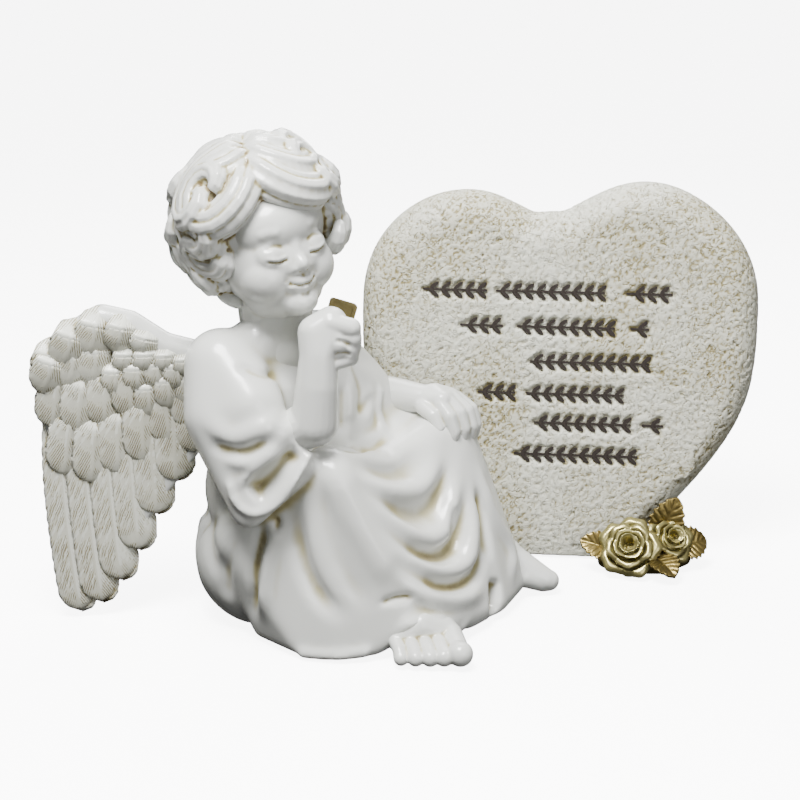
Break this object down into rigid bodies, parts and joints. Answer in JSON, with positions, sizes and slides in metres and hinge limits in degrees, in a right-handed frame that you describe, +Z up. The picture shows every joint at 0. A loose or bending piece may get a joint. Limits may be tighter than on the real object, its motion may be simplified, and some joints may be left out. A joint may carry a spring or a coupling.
{
  "type": "resin angel figurine",
  "caption": "Seated winged cherub in a long gown, chin on its fist, beside a standing heart-shaped plaque with gilt roses at its foot.",
  "frame": {"origin": "bottom centre of the whole piece, on the underside of the felt pads", "axes": "+Z up, -Y is the front (the heart's decorated face looks that way), +X runs along the piece from the wings to the heart"},
  "size_m": [0.2526, 0.1454, 0.167],
  "materials": {
    "resin_white": "gloss ivory-white cast resin with a brown antique wash in the folds",
    "resin_stone": "satin cast resin textured like pitted limestone",
    "dark_fill": "matt dark brown paint in the engraving",
    "gilt": "gold paint, satin",
    "champagne_gilt": "pale champagne gold paint, satin",
    "antique_gilt": "antique gold paint, rubbed darker in the veins",
    "steel": "plain 3 mm dowel",
    "felt": "self-adhesive felt"
  },
  "bodies": {
    "root": {"gown_body": "resin_white", "head": "resin_white", "right_forearm": "resin_white", "left_forearm": "resin_white", "right_foot": "resin_white", "left_foot": "resin_white", "right_wing": "resin_white", "left_wing": "resin_white", "plinth": "resin_white", "heart_plaque": "resin_stone", "heart_ornament": "dark_fill", "shoulder_clasp": "gilt", "rose_large": "champagne_gilt", "rose_small": "champagne_gilt", "rose_leaf_left": "antique_gilt", "rose_leaf_front": "antique_gilt", "rose_leaf_right": "antique_gilt", "rose_leaf_top": "antique_gilt", "rose_base": "antique_gilt", "wing_pins": "steel", "neck_pin": "steel", "heart_pins": "steel", "felt_pads": "felt"}
  },
  "joints": []
}
